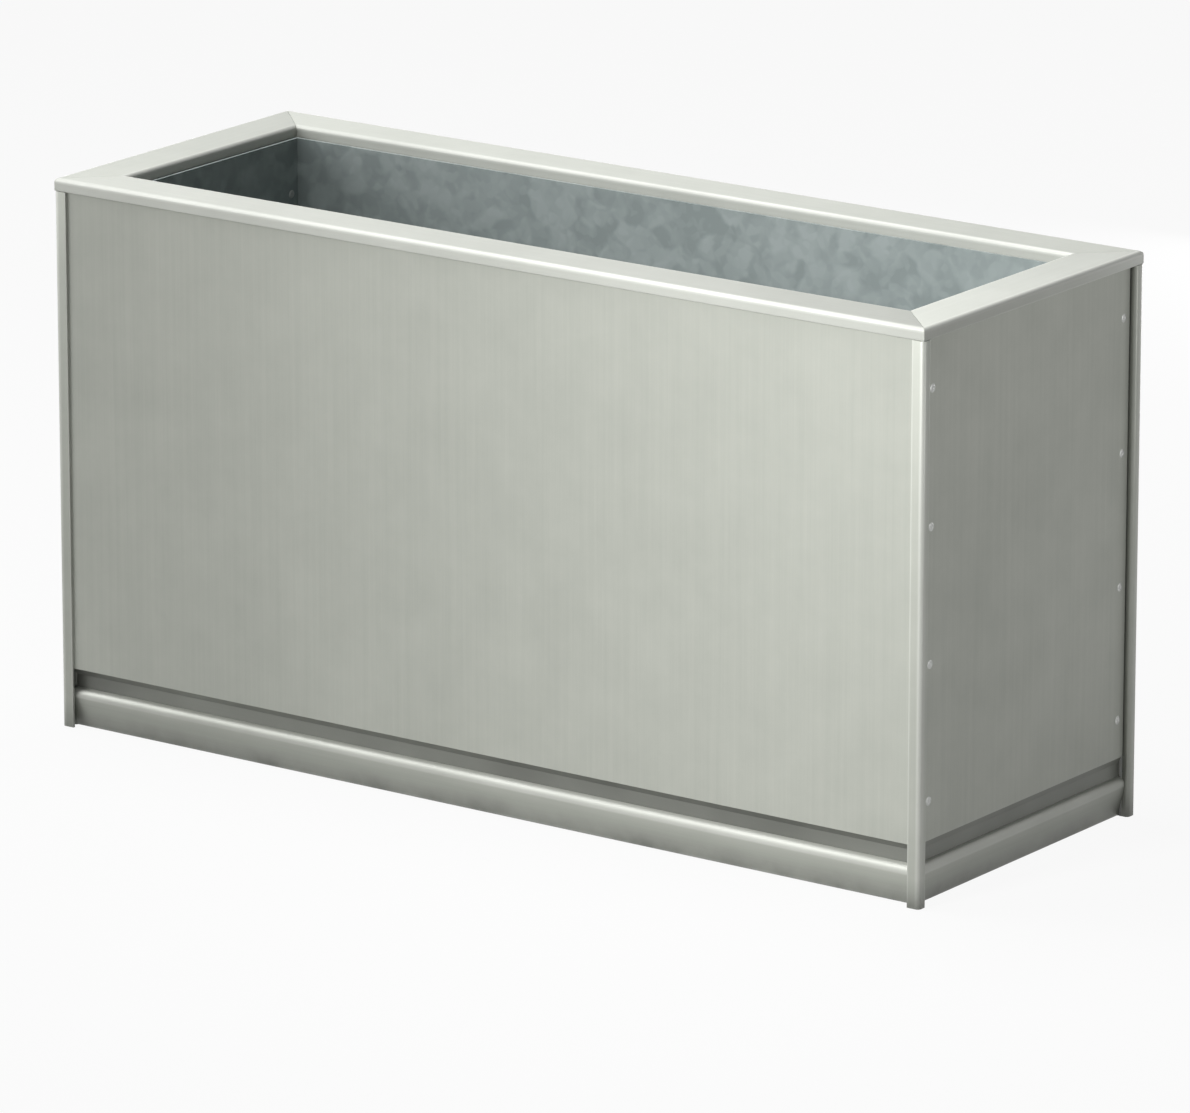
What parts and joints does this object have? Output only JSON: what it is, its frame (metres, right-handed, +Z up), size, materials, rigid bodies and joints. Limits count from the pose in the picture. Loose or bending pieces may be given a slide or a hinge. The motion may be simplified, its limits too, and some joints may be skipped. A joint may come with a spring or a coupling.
{
  "type": "rectangular planter",
  "caption": "Rectangular sheet-metal floor planter with a flat mitred rim, riveted corner angles, a grooved base with a rounded nose, and a galvanised liner that lifts out.",
  "frame": {"origin": "on the floor under the middle of the planter", "axes": "+Z up, X along the length, the front faces -Y and the right end faces +X"},
  "size_m": [0.826, 0.3, 0.45],
  "materials": {
    "shell": "satin zinc-grey sheet with a fine upright grain",
    "trim": "satin zinc-grey folded strip, grain along its length",
    "galvanised": "galvanised sheet with a soft blue-grey spangle",
    "rivet": "satin rivet"
  },
  "bodies": {
    "shell": {"rim_front": "trim", "rim_right": "trim", "rim_back": "trim", "rim_left": "trim", "corner_angle_front_left": "trim", "corner_angle_front_right": "trim", "corner_angle_back_left": "trim", "corner_angle_back_right": "trim", "front_panel": "shell", "back_panel": "shell", "left_panel": "shell", "right_panel": "shell", "base_rail_front": "trim", "base_rail_right": "trim", "base_rail_back": "trim", "base_rail_left": "trim", "floor_pan": "galvanised", "liner_bearer_left": "galvanised", "liner_bearer_middle": "galvanised", "liner_bearer_right": "galvanised", "corner_rivets": "rivet"},
    "liner": {"liner_wrap": "galvanised", "liner_end_left": "galvanised", "liner_end_right": "galvanised", "liner_rivets": "rivet"}
  },
  "joints": [
    {"name": "liner_lift", "type": "slide", "parent": "shell", "child": "liner", "axis": [0, 0, 1], "range_m": [0, 0.46]}
  ]
}
